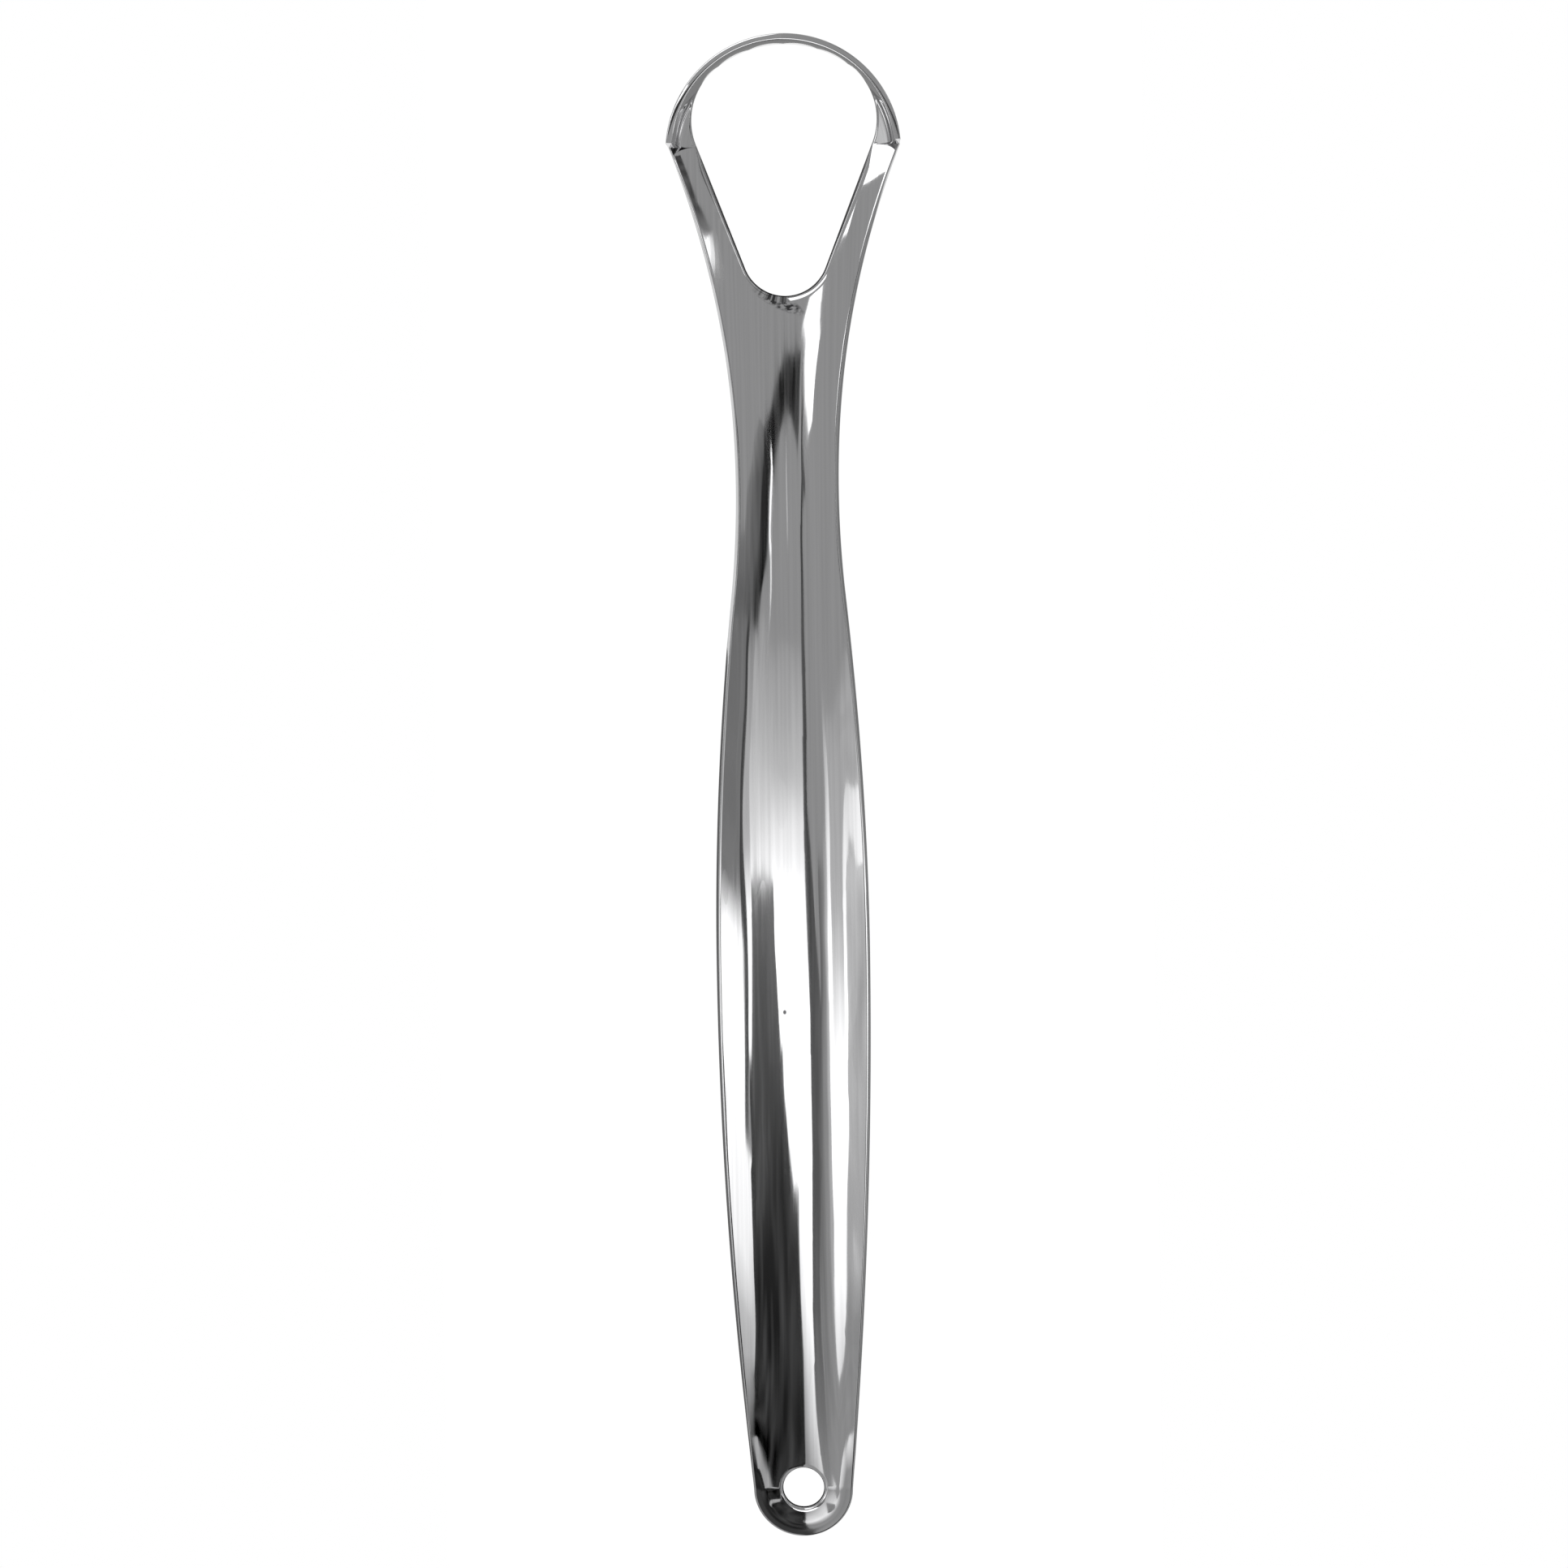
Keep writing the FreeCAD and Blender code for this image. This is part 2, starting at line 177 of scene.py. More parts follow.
# length along the line where its width, at that depth, comes to a given one: by halving
def pathAt(line, across, depth):
    low, high = 0 * across, line[1] + line[3] + line[4] + 0 * across
    for step in range(scraper["halvings"]):
        middle = (low + high) / 2
        short = linePoint(line, middle, depth)[0] < across
        low, high = np.where(short, middle, low), np.where(short, high, middle)
    return low


# point in space: base on the middle line, width along an outward arrow that turns round the
# loop and the tip, lift along an upward arrow that leans with the tip
def sheetPoint(place, turn, inLoop, line, path, depth):
    out, lift = linePoint(line, path, depth)
    tilt = np.clip(1 - (place - key["tip"]) / scraper["droopRun"], 0, 1)
    tilt = np.where(inLoop, 0, key["droop"] * tilt ** 2 * (3 - 2 * tilt))
    lift = lift + scraper["gauge"]
    ahead = out * np.sin(turn)
    base = np.where(inLoop, key["loop"], place)
    height = np.where(inLoop, 0, backHeight(place))
    return np.stack((out * np.cos(turn), base + ahead * np.cos(tilt) - lift * np.sin(tilt),
                     height + ahead * np.sin(tilt) + lift * np.cos(tilt)), -1)


# opening in plan, right half, from the hoop's top to the crotch: hoop arc, corner arc,
# straight side and crotch arc, with normals into the opening
def openingOutline():
    size = scraper
    corner, crotch = size["cornerRadius"], size["crotchRadius"]
    hoop = key["loopRadius"] - size["loopBand"]
    aside = size["headWidth"] / 2 - size["shoulderBand"] - corner
    lift = math.sqrt((hoop - corner) ** 2 - aside ** 2)
    cornerCentre = np.array((aside, key["loop"] + lift))
    crotchCentre = np.array((0, size["length"] - size["loopBand"] - size["openingLength"] + crotch))
    run = cornerCentre - crotchCentre
    lean = math.atan2(run[1], run[0]) - math.acos((crotch - corner) / np.hypot(*run))
    hoopTurn = np.linspace(math.pi / 2, key["shoulder"], size["hoopRows"])
    ray = np.stack((np.cos(hoopTurn), np.sin(hoopTurn)), 1)
    ahead = ray @ (aside, lift)
    reach = ahead + np.sqrt(corner ** 2 - aside ** 2 - lift ** 2 + ahead ** 2)
    inHoop = hoopTurn > math.atan2(lift, aside)
    hoopPoint = (0, key["loop"]) + ray * np.where(inHoop, hoop, reach)[:, None]
    hoopNormal = np.where(inHoop[:, None], -ray, (cornerCentre - hoopPoint) / corner)
    side = np.array((math.cos(lean), math.sin(lean)))
    share = np.linspace(0, 1, size["armRows"] + 1)[1:, None]
    first, last = hoopPoint[-1], crotchCentre + side * crotch
    armPoint = first + (last - first) * share
    armNormal = np.repeat(-side[None], len(share), 0)
    crotchTurn = np.linspace(lean, -math.pi / 2, size["crotchRows"] + 1)[1:]
    spoke = np.stack((np.cos(crotchTurn), np.sin(crotchTurn)), 1)
    points = np.concatenate((hoopPoint, armPoint, crotchCentre + spoke * crotch))
    return hoopTurn, points, np.concatenate((hoopNormal, armNormal, -spoke))


# rows of one half, from the hoop's top to the tip's end: plan points of the inner cut edge
# and just beside it, the place where the row meets the rim, its turn about loop or tip, and
# how wide its lip is; rows lag behind the crotch and fan out to the tip by parabolas
def sheetRows():
    size = scraper
    hoopTurn, edge, into = openingOutline()
    hoopRows, openRows = len(hoopTurn), len(edge)
    lip = np.interp(np.arange(openRows), (0, hoopRows, hoopRows + size["lipBlendRows"]),
                    (size["hoopLip"], size["hoopLip"], size["armLip"]))
    inset = edge - into * lip[:, None]
    seam = inset[-1, 1]
    tip = (0, key["tip"])
    squeeze = math.cos(key["droop"])
    radius = size["hangHole"] / 2
    wider = radius + size["lipRound"]
    handleEnd = key["tip"] + wider * squeeze
    share = np.arange(1, size["handleRows"] + 1) / size["handleRows"]
    middle = seam + (handleEnd - seam) * share
    handle = np.stack((0 * middle, middle), 1)
    holeTurn = np.linspace(0, math.pi / 2, size["holeRows"] + 1)[1:]
    spoke = np.stack((np.sin(holeTurn), squeeze * np.cos(holeTurn)), 1)
    tipTurn = np.linspace(0, math.pi / 2, size["tipRows"] + 1)[1:]
    around = np.repeat(((radius, key["tip"]),), len(tipTurn), 0)
    sharp = np.concatenate((edge, handle, tip + spoke * radius, around))
    start = np.concatenate((inset, handle, tip + spoke * wider, around))
    holeRow = openRows + len(handle) - 1
    sharp[holeRow] = 0, key["tip"] + radius * squeeze
    lip = np.concatenate((lip, np.full(len(sharp) - openRows, size["lipRound"])))
    armFoot = edge[hoopRows + size["armRows"] - 1, 1] - size["footDrop"]
    lag = np.clip((middle - size["lagEnd"]) / (seam - size["lagEnd"]), 0, 1) ** 2
    fan = np.clip((size["fanStart"] - middle) / (size["fanStart"] - handleEnd), 0, 1) ** 2
    handleMeets = middle - (seam - size["seamPlace"]) * lag + size["fanReach"] * fan
    meets = np.concatenate((
        np.full(hoopRows, key["shoulderPlace"]),
        np.linspace(key["shoulderPlace"], armFoot, size["armRows"] + 1)[1:],
        np.linspace(armFoot, size["seamPlace"], size["crotchRows"] + 1)[1:],
        handleMeets,
        np.linspace(handleMeets[-1], key["tip"], size["holeRows"] + 1)[1:],
        np.full(len(tipTurn), key["tip"])))
    turn = np.concatenate((hoopTurn, np.zeros(len(sharp) - hoopRows - len(tipTurn)), -tipTurn))
    return dict(hoopRows=hoopRows, openRows=openRows, holeRow=holeRow, sharp=sharp, start=start,
                meets=meets[:, None], turn=turn[:, None], lip=lip[:, None])


# one half of the sheet: grids of its upper face, lower face and cut edges, each with its plan;
# a row runs over the hollow and the fold in even steps, and over the rim in cosine steps
def halfSheet(side):
    size, rows = scraper, sheetRows()
    sharp, start, meets, turn, lip = (rows[name] for name in ("sharp", "start", "meets", "turn", "lip"))
    count = len(meets)
    number = np.arange(count)[:, None]
    inLoop = number < rows["hoopRows"]
    turned = inLoop | (number >= count - size["tipRows"])
    hollow = np.linspace(0, 1, size["hollowColumns"] + 1)
    fold = np.linspace(0, 1, size["foldColumns"] + 1)[1:]
    rim = (1 - np.cos(np.linspace(0, math.pi, size["rimColumns"] + 1)[1:])) / 2
    inHollow = slice(0, len(hollow))
    inFold = slice(len(hollow), -len(rim))
    inRim = slice(-len(rim), None)
    toMiddle = np.concatenate((1 - hollow, np.zeros(len(fold) + len(rim))))
    place = meets + np.where(turned, 0, start[:, 1:] - meets) * toMiddle
    line = sectionLine(place, inLoop, side)
    lineStart = [part[:, :1] for part in line]
    first, foldLength, rimLength = line[1], line[3], line[4]
    foldEnd = first + foldLength
    fromLoop = np.hypot(sharp[:, 0], sharp[:, 1] - key["loop"])[:, None]
    across = np.where(inLoop, fromLoop, start[:, :1])
    acrossSharp = np.where(inLoop, fromLoop, sharp[:, :1])
    placeSharp = np.where(turned, meets, sharp[:, 1:])
    lineSharp = sectionLine(placeSharp, inLoop, side)
    faces, corners = [], []
    for depth in (0.0, size["gauge"]):
        begin = pathAt(lineStart, across, depth) + np.where(turned, lip, 0)
        share = np.minimum(begin / first[:, :1], 1)
        path = np.concatenate((
            (share + (1 - share) * hollow) * first[:, inHollow],
            foldEnd[:, inFold] - foldLength[:, inFold] * (1 - fold),
            foldEnd[:, inRim] + (rimLength[:, inRim] - size["edgeRound"]) * rim), 1)
        path = np.maximum(path, begin)
        plan = np.stack((path, np.where(inLoop, key["loop"] + path * np.sin(turn), place)), 2)
        faces.append((sheetPoint(place, turn, inLoop, line, path, depth), plan))
        pathSharp = pathAt(lineSharp, acrossSharp, depth)
        inner = sheetPoint(placeSharp, turn, inLoop, lineSharp, pathSharp, depth)
        outer = sheetPoint(place, turn, inLoop, line, foldEnd + rimLength, depth)
        corners.append((inner[:, 0], outer[:, -1]))
    (upper, upperPlan), (lower, lowerPlan) = faces
    grids = [(upper, upperPlan, False), (lower, lowerPlan, True)]
    edgeReach = np.full((count, 1), size["edgeRound"])
    lipReach = np.minimum(lip, size["lipDrop"])
    outside, opening, hole = slice(0, count), slice(0, rows["openRows"]), slice(rows["holeRow"], count)
    for cut, column, reach in ((outside, -1, edgeReach), (opening, 0, lipReach), (hole, 0, lipReach)):
        band = cutEdge(upper[cut, column], corners[0][column][cut], corners[1][column][cut],
                       lower[cut, column], reach[cut])
        spread = np.repeat(upperPlan[cut, column][:, None], band.shape[1], 1)
        grids.append((band, spread, column == 0))
    return grids


# cut edge across the thickness: straight, with a parabola round the corner at each face
def cutEdge(upper, upperCorner, lowerCorner, lower, reach):
    across = lowerCorner - upperCorner
    across /= np.linalg.norm(across, axis=1, keepdims=True)
    share = np.linspace(0, 1, scraper["edgeColumns"] + 1)[:, None]

    def rounded(first, corner, last):
        return ((1 - share) ** 2 * first[:, None] + 2 * share * (1 - share) * corner[:, None]
                + share ** 2 * last[:, None])

    lowerReach = across * scraper["edgeRound"]
    return np.concatenate((rounded(upper, upperCorner, upperCorner + across * reach),
                           rounded(lowerCorner - lowerReach, lowerCorner, lower)), 1)


# quads of a grid of points, numbered from a first corner
def gridFaces(rows, columns, first, flip):
    corner = first + np.arange((rows - 1) * columns).reshape(rows - 1, columns)[:, :-1]
    quads = np.stack((corner, corner + 1, corner + columns + 1, corner + columns), 2).reshape(-1, 4)
    return quads[:, ::-1] if flip else quads


def buildScraper():
    points, faces, spread, count = [], [], [], 0
    for side, sign in (("right", 1), ("left", -1)):
        for grid, plan, flip in halfSheet(side):
            points.append((grid * (sign, 1, 1)).reshape(-1, 3))
            spread.append((plan * (sign, 1)).reshape(-1, 2))
            faces.append(gridFaces(*grid.shape[:2], count, flip != (sign > 0)))
            count += grid.shape[0] * grid.shape[1]
    points, faces, spread = np.concatenate(points), np.concatenate(faces), np.concatenate(spread)
    points[:, 1] -= scraper["length"] / 2
    mesh = bpy.data.meshes.new("pressedScraper")
    mesh.from_pydata((points * mm).tolist(), [], faces.tolist())
    layer = mesh.uv_layers.new(name="sheetPlan")
    corner = np.zeros(len(mesh.loops), np.int32)
    mesh.loops.foreach_get("vertex_index", corner)
    layer.data.foreach_set("uv", (spread[corner] * mm).astype(np.float32).ravel())
    form = bmesh.new()
    form.from_mesh(mesh)
    bmesh.ops.remove_doubles(form, verts=form.verts, dist=scraper["weldReach"] * mm)
    loose = sum(1 for item in form.edges if not item.is_manifold)
    volume = form.calc_volume(signed=True) / mm ** 3
    print("scraper mesh:", len(form.verts), "points,", len(form.faces), "faces,", loose, "open edges,",
          "volume", round(volume, 1), "mm3")
    form.to_mesh(mesh)
    form.free()
    mesh.shade_smooth()
    mesh.set_sharp_from_angle(angle=math.radians(scraper["sharpAngle"]))
    piece = bpy.data.objects.new("pressedScraper", mesh)
    bpy.context.scene.collection.objects.link(piece)
    return piece


pressed = buildScraper()


# colour code as a linear colour, by the sRGB curve
def linear(code):
    parts = [int(code[i:i + 2], 16) / 255 for i in (1, 3, 5)]
    return [p / 12.92 if p <= 0.04045 else ((p + 0.055) / 1.055) ** 2.4 for p in parts] + [1.0]


# one node with its settings; links are input name or number -> output socket
def addNode(tree, kind, settings=None, values=None, links=None):
    node = tree.nodes.new(kind)
    for name, value in (settings or {}).items():
        setattr(node, name, value)
    for name, value in (values or {}).items():
        node.inputs[name].default_value = value
    for name, socket in (links or {}).items():
        tree.links.new(socket, node.inputs[name])
    return node


# a value's range carried onto another one, held at its ends
def addRange(tree, socket, given, wanted=(0.0, 1.0)):
    return addNode(tree, "ShaderNodeMapRange", links={"Value": socket}, values={
        "From Min": given[0], "From Max": given[1], "To Min": wanted[0], "To Max": wanted[1]}).outputs[0]


def newMaterial(name):
    material = bpy.data.materials.new(name)
    material.use_nodes = True
    material.node_tree.nodes.clear()
    return material, material.node_tree


# polished 304 stainless sheet: rolled, stamped, then buffed along its length; a neutral grey
# mirror with fine lengthwise buffing lines, soft waves left by the press, a scuffed crotch and
# one dark speck; sizes in mm
steel = dict(
    colour="#c9c9ca", duller="#c0c0c1", scuffed="#4a4a4b", roughness=(0.04, 0.08),
    lineWide=0.4, lineLong=40.0, lineDetail=6.0, lineDeep=0.0002,
    waveWide=2.5, waveLong=14.0, waveDetail=1.0, waveDeep=0.012,
    scuffWide=0.5, scuffLong=0.3, scuffDetail=3.0, scuffLevels=(-0.5, 1.6),
    scuffAt=(-0.7, 120.9), scuffTurn=-27.0, scuffSize=(3.0, 0.75),
    speckAt=(-1.0, 51.5), speckSize=(0.22, 0.28),
    noiseLimits=(0.3, 0.7), ovalCoreShare=0.55,
)


def polishedStainless():
    material, tree = newMaterial("polishedStainlessSheet")
    plan = addNode(tree, "ShaderNodeUVMap", {"uv_map": "sheetPlan"}).outputs[0]

    # noise drawn out over the sheet
    def grain(name, levels=(0.0, 1.0)):
        wide, long = steel[name + "Wide"] * mm, steel[name + "Long"] * mm
        spread = addNode(tree, "ShaderNodeMapping", values={"Scale": (1 / wide, 1 / long, 1)},
                         links={"Vector": plan})
        noise = addNode(tree, "ShaderNodeTexNoise", {"noise_dimensions": "2D"},
                        {"Scale": 1.0, "Detail": steel[name + "Detail"]}, {"Vector": spread.outputs[0]})
        return addRange(tree, noise.outputs["Fac"], steel["noiseLimits"], levels)

    # soft-edged oval at a place on the sheet
    def oval(name, turn):
        inside = addNode(tree, "ShaderNodeMapping", {"vector_type": "TEXTURE"}, {
            "Location": [v * mm for v in steel[name + "At"]] + [0], "Rotation": (0, 0, math.radians(turn)),
            "Scale": [v * mm for v in steel[name + "Size"]] + [1]}, {"Vector": plan})
        away = addNode(tree, "ShaderNodeVectorMath", {"operation": "LENGTH"}, links={0: inside.outputs[0]})
        return addRange(tree, away.outputs["Value"], (1.0, steel["ovalCoreShare"]))

    lines = grain("line")
    waves = grain("wave")
    specks = grain("scuff", steel["scuffLevels"])
    scuff = addNode(tree, "ShaderNodeMath", {"operation": "MULTIPLY", "use_clamp": True},
                    links={0: oval("scuff", steel["scuffTurn"]), 1: specks})
    marks = addNode(tree, "ShaderNodeMath", {"operation": "MAXIMUM"},
                    links={0: scuff.outputs[0], 1: oval("speck", 0.0)})
    metal = addNode(tree, "ShaderNodeMix", {"data_type": "RGBA"},
                    {6: linear(steel["colour"]), 7: linear(steel["duller"])}, {"Factor": lines})
    metal = addNode(tree, "ShaderNodeMix", {"data_type": "RGBA"}, {7: linear(steel["scuffed"])},
                    {"Factor": marks.outputs[0], 6: metal.outputs[2]})
    haze = addRange(tree, lines, (0.0, 1.0), steel["roughness"])
    waved = addNode(tree, "ShaderNodeBump", values={"Distance": steel["waveDeep"] * mm},
                    links={"Height": waves})
    lined = addNode(tree, "ShaderNodeBump", values={"Distance": steel["lineDeep"] * mm},
                    links={"Height": lines, "Normal": waved.outputs[0]})
    shader = addNode(tree, "ShaderNodeBsdfPrincipled", values={"Metallic": 1.0},
                     links={"Base Color": metal.outputs[2], "Roughness": haze, "Normal": lined.outputs[0]})
    addNode(tree, "ShaderNodeOutputMaterial", links={"Surface": shader.outputs[0]})
    return material


pressed.data.materials.append(polishedStainless())
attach(pressed, "root")
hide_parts("pressed_scraper")
print("steel on")

# floor, in mm: white to the camera and to what mirrors it, plain paper to the lamps; the paper
# near the scraper takes a faint shadow, the paper around it none
paper = dict(reach=1500.0, nearWide=35.0, nearLong=90.0, colour="#f4f4f4", shaded="#5f5f5f",
             nearGlow=0.96, aroundGlow=1.0)


def whitePaper(name, glow, shaded):
    material, tree = newMaterial(name)
    plain = addNode(tree, "ShaderNodeBsdfDiffuse", values={"Color": linear(paper["colour"])})
    white = addNode(tree, "ShaderNodeEmission", values={"Strength": glow})
    if shaded:
        faint = addNode(tree, "ShaderNodeBsdfDiffuse", values={"Color": linear(paper["shaded"])})
        white = addNode(tree, "ShaderNodeAddShader", links={0: white.outputs[0], 1: faint.outputs[0]})
    path = addNode(tree, "ShaderNodeLightPath")
    seen = path.outputs["Is Camera Ray"]
    for ray in ("Is Glossy Ray", "Is Transmission Ray"):
        seen = addNode(tree, "ShaderNodeMath", {"operation": "MAXIMUM"},
                       links={0: seen, 1: path.outputs[ray]}).outputs[0]
    blend = addNode(tree, "ShaderNodeMixShader", links={0: seen, 1: plain.outputs[0], 2: white.outputs[0]})
    addNode(tree, "ShaderNodeOutputMaterial", links={"Surface": blend.outputs[0]})
    return material


def addFloor():
    signs = ((-1, -1), (1, -1), (1, 1), (-1, 1))
    outer = [(x * paper["reach"] * mm, y * paper["reach"] * mm, 0) for x, y in signs]
    inner = [(x * paper["nearWide"] * mm, y * paper["nearLong"] * mm, 0) for x, y in signs]
    mesh = bpy.data.meshes.new("floor")
    faces = [(4, 5, 6, 7), (0, 1, 5, 4), (1, 2, 6, 5), (2, 3, 7, 6), (3, 0, 4, 7)]
    mesh.from_pydata(outer + inner, [], faces)
    mesh.polygons.foreach_set("material_index", [0, 1, 1, 1, 1])
    mesh.materials.append(whitePaper("whitePaperFloor", paper["nearGlow"], True))
    mesh.materials.append(whitePaper("whitePaperAround", paper["aroundGlow"], False))
    floor = bpy.data.objects.new("floor", mesh)
    bpy.context.scene.collection.objects.link(floor)


# cards round the bench, mirrored in the steel: name, height in mm, then x, y in mm and
# brightness at each corner
cards = [
    # the window ahead, which the hollow mirrors
    ("window", 500, (-215, -130, 2.4), (300, -130, 2.4), (300, -8, 2.4), (-215, -8, 2.4)),
    ("windowFoot", 500, (-215, -420, 0.5), (-20, -420, 0.4), (-20, -230, 0.45), (-20, -130, 2.2),
     (-215, -130, 2.4), (-215, -220, 2.2)),
    ("windowTop", 500, (-215, -8, 2.0), (560, -8, 2.0), (560, 28, 0.85), (-215, 28, 0.85)),
    ("windowHigh", 500, (-215, 28, 0.85), (560, 28, 0.85), (560, 66, 0.53), (-215, 66, 0.53)),
    # to the right, mirrored by the left half
    ("rightWindow", 500, (545, 12, 0.8), (545, -20, 2.2), (585, -75, 2.2), (640, -96, 2.2),
     (715, -96, 2.2), (715, -20, 2.2), (700, 12, 0.8)),
    ("rightWall", 500, (545, 12, 0.8), (700, 12, 0.8), (700, 66, 0.4), (560, 66, 0.4)),
    ("rightPost", 498, (715, -150, 0.1), (790, -150, 0.1), (790, 66, 0.1), (700, 66, 0.1), (700, 12, 0.1)),
    ("wingWall", 500, (790, -2, 0.28), (1800, -2, 0.32), (1800, 66, 0.32), (790, 66, 0.28)),
    ("wingFade", 500, (790, -30, 2.2), (1100, -30, 2.2), (1100, -2, 0.3), (790, -2, 0.28)),
    ("wingWindow", 500, (790, -160, 1.9), (1100, -160, 1.9), (1100, -30, 2.2), (790, -30, 2.2)),
    ("wingFoot", 500, (650, -160, 1.9), (560, -235, 1.0), (440, -282, 0.7), (300, -303, 0.3),
     (200, -318, 0.05), (150, -340, 0.03), (200, -430, 0.05), (1100, -430, 0.8), (1100, -160, 1.9)),
    # to the left, mirrored by the right half
    ("leftWindow", 500, (-1000, -180, 2.2), (-505, -180, 2.2), (-505, -40, 2.2), (-1000, -40, 2.2)),
    ("leftTop", 500, (-620, -40, 2.2), (-505, -40, 2.2), (-520, 10, 1.3), (-560, 46, 0.7), (-620, 46, 0.7)),
    ("leftSide", 499, (-1000, -110, 2.2), (-620, -110, 2.2), (-620, -25, 0.8), (-1000, -25, 0.8)),
    ("leftFar", 499, (-1000, -25, 0.8), (-620, -25, 0.8), (-620, 46, 0.6), (-1000, 46, 0.6)),
    ("leftFoot", 500, (-1000, -420, 0.8), (-350, -420, 0.8), (-380, -300, 0.9), (-430, -220, 1.4),
     (-505, -180, 2.2), (-1000, -180, 2.2)),
    ("leftWall", 496, (-400, -300, 0.5), (-330, -300, 0.45), (-400, -170, 0.4), (-420, 0, 0.45),
     (-505, 0, 1.0), (-505, -170, 0.7), (-440, -220, 0.55)),
    ("leftShade", 495, (-340, -300, 0.5), (-190, -300, 0.45), (-300, -130, 0.22), (-340, -60, 0.22),
     (-340, 0, 0.22), (-430, 0, 0.4), (-410, -170, 0.4)),
    ("leftPost", 494, (-150, -300, 0.4), (-145, -190, 0.14), (-178, -130, 0.15), (-192, -58, 0.15),
     (-150, -6, 0.13), (-150, 15, 0.12), (-190, 68, 0.15), (-350, 133, 0.1), (-280, 165, 0.1),
     (-160, 185, 0.1), (-210, 188, 0.1), (-330, 170, 0.1), (-400, 133, 0.1), (-240, 68, 0.1),
     (-205, 15, 0.1), (-255, -6, 0.1), (-350, -60, 0.2), (-305, -135, 0.2), (-240, -195, 0.2),
     (-200, -300, 0.4)),
    # lamps and shades beyond the head, mirrored by the neck, the arms and the shoulders
    ("upperLamp", 494, (-145, 195, 2.4), (-156, 183, 2.4), (-253, 179, 2.4), (-387, 175, 2.4),
     (-450, 171, 2.4), (-501, 192, 2.4), (-480, 228, 2.4), (-440, 262, 2.4), (-288, 243, 2.4),
     (-200, 235, 2.4)),
    ("farLamp", 500, (-7000, 420, 2.0), (-2200, 420, 2.0), (-2200, 2500, 2.0), (-7000, 2500, 2.0)),
    ("shoulderLamp", 494, (-60, 330, 2.4), (-60, 1000, 2.4), (-430, 1000, 2.4), (-470, 640, 2.4),
     (-540, 520, 2.4), (-560, 450, 2.4), (-430, 380, 2.4)),
    ("rightSpot", 480, (-14, 98, 0.9), (8, 98, 0.9), (8, 124, 0.9), (-14, 124, 0.9)),
    ("shoulderShade", 494, (200, 560, 0.06), (560, 600, 0.06), (760, 590, 0.3), (760, 720, 0.3),
     (240, 800, 0.06)),
    ("flareLamp", 494, (790, 610, 2.2), (1100, 640, 2.2), (1100, 760, 2.2), (800, 700, 2.2)),
    # the dark shape before the window, and what stands in front of it
    ("body", 490, (-40, -1500, 0.02), (200, -1500, 0.02), (200, -316, 0.02), (300, -301, 0.03),
     (440, -280, 0.05), (560, -233, 0.05), (650, -158, 0.06), (660, -96, 0.08), (590, -90, 0.1),
     (545, -20, 0.22), (545, -4, 0.25), (182, -6, 0.25), (142, -59, 0.15), (60, -110, 0.07),
     (-4, -137, 0.05), (-30, -199, 0.04)),
    ("tipLamp", 488, (100, -326, 0.7), (225, -318, 0.7), (228, -299, 0.7), (150, -299, 0.7),
     (105, -308, 0.7)),
    ("railInner", 486, (-180, 172, 0.06), (-250, 150, 0.1), (-238, 136, 0.1), (-92, 136, 0.05),
     (36, 134, 0.03), (209, 129, 0.02), (335, 122, 0.02), (392, 98, 0.02), (505, 60, 0.02),
     (590, 62, 0.05), (515, 118, 0.04), (450, 146, 0.04), (370, 166, 0.04), (209, 155, 0.03),
     (36, 151, 0.02), (-96, 160, 0.03)),
    ("railOuter", 486, (590, 62, 0.12), (700, 64, 0.18), (1300, 66, 0.2), (1300, 126, 0.26),
     (860, 171, 0.33), (620, 190, 0.33), (430, 185, 0.33), (370, 166, 0.25), (450, 146, 0.14),
     (515, 118, 0.1)),
    ("slit", 482, (268, 140, 2.4), (290, 140, 2.4), (352, 101, 2.4), (272, 72, 2.4), (258, 72, 2.4),
     (328, 101, 2.4)),
    # painted shade on the floor inside the loop, in the hang hole and beside the scraper: dark sheets that
    # only the mirror sees, mirrored by the cut edges and the hoop's wall
    ("upperBench", 0.04, (-10.7, 62, 0.3), (10.7, 62, 0.3), (10.2, 65.2, 0.3), (8.7, 68.2, 0.3),
     (6.3, 70.6, 0.3), (3.3, 72.1, 0.3), (0, 72.6, 0.3), (-3.3, 72.1, 0.3), (-6.3, 70.6, 0.3),
     (-8.7, 68.2, 0.3), (-10.2, 65.2, 0.3)),
    ("lowerBench", 0.04, (-9.4, 62, 0.1), (-4.2, 50.4, 0.06), (-2.2, 48.3, 0.06), (2.2, 48.3, 0.06),
     (4.2, 50.4, 0.06), (9.4, 62, 0.1)),
    ("holeBench", 0.04, (-2.3, -68.6, 0.03), (-1.6, -70.3, 0.03), (0, -71, 0.03), (1.6, -70.3, 0.03),
     (2.3, -68.6, 0.03), (1.6, -66.9, 0.03), (0, -66.2, 0.03), (-1.6, -66.9, 0.03)),
    ("rightBench", 0.04, (5, -90, 0.25), (70, -90, 0.25), (70, 90, 0.35), (12.5, 90, 0.35),
     (12.5, 60, 0.35), (7, 30, 0.3)),
    ("leftBench", 0.04, (-70, -90, 0.2), (-5, -90, 0.2), (-5, 15, 0.2), (-70, 15, 0.2)),
]

# faint clouds over all the cards, and the height, in mm, under which a card is a sheet of painted shade on
# the floor that only the mirror sees
cardLook = dict(cloudScale=14.0, cloudDetail=3.0, cloudLimits=(0.42, 0.72), cloudLevels=(-0.03, 0.05),
                shadeSheetTop=1.0)


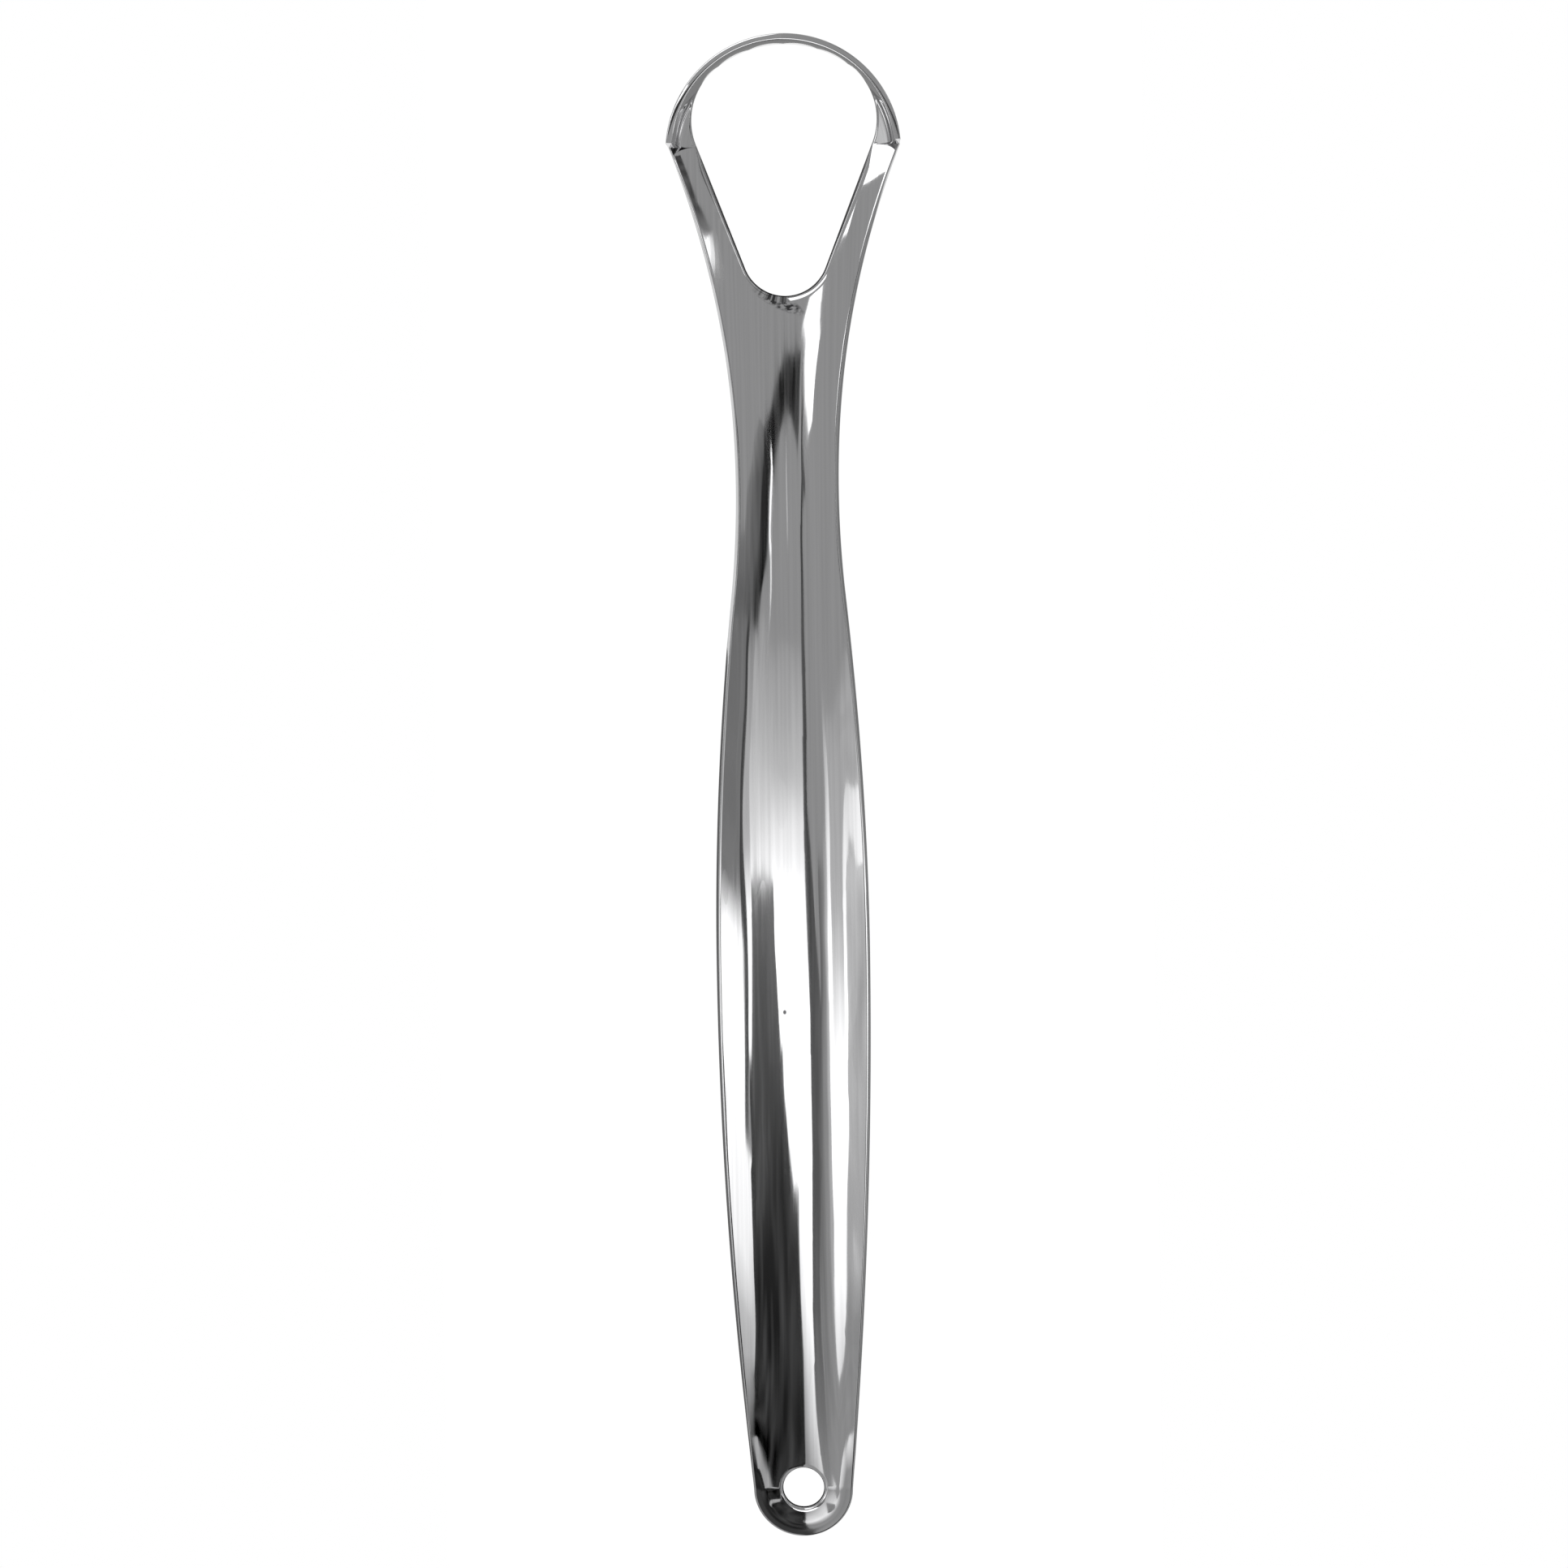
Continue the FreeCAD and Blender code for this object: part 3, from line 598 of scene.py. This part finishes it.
def litCard():
    material, tree = newMaterial("litCard")
    level = addNode(tree, "ShaderNodeAttribute", {"attribute_name": "level"})
    place = addNode(tree, "ShaderNodeTexCoord")
    noise = addNode(tree, "ShaderNodeTexNoise",
                    values={"Scale": cardLook["cloudScale"], "Detail": cardLook["cloudDetail"]},
                    links={"Vector": place.outputs["Object"]})
    cloud = addRange(tree, noise.outputs["Fac"], cardLook["cloudLimits"], cardLook["cloudLevels"])
    bright = addNode(tree, "ShaderNodeMath", {"operation": "ADD"}, links={0: level.outputs["Fac"], 1: cloud})
    glow = addNode(tree, "ShaderNodeEmission", links={"Strength": bright.outputs[0]})
    addNode(tree, "ShaderNodeOutputMaterial", links={"Surface": glow.outputs[0]})
    return material


def addCards():
    material = litCard()
    for name, high, *corners in cards:
        mesh = bpy.data.meshes.new(name)
        mesh.from_pydata([(x * mm, y * mm, high * mm) for x, y, bright in corners], [],
                         [tuple(range(len(corners)))[::-1]])
        layer = mesh.attributes.new("level", "FLOAT", "POINT")
        layer.data.foreach_set("value", [bright for x, y, bright in corners])
        mesh.materials.append(material)
        card = bpy.data.objects.new(name, mesh)
        bpy.context.scene.collection.objects.link(card)
        card.visible_camera = False
        # cards lower than that height are sheets of painted shade on the floor: they cast no shadow, light
        # nothing and only the mirror sees them
        card.visible_shadow = card.visible_diffuse = high > cardLook["shadeSheetTop"]


room = dict(glow=0.57)  # brightness all round, past the cards


def addRoom():
    world = bpy.data.worlds.new("studio")
    bpy.context.scene.world = world
    world.use_nodes = True
    world.node_tree.nodes.clear()
    sky = addNode(world.node_tree, "ShaderNodeBackground", values={"Strength": room["glow"]})
    addNode(world.node_tree, "ShaderNodeOutputWorld", links={"Surface": sky.outputs[0]})
    bpy.context.scene.view_settings.view_transform = "Standard"


addFloor()
addCards()
addRoom()
print("studio lit")
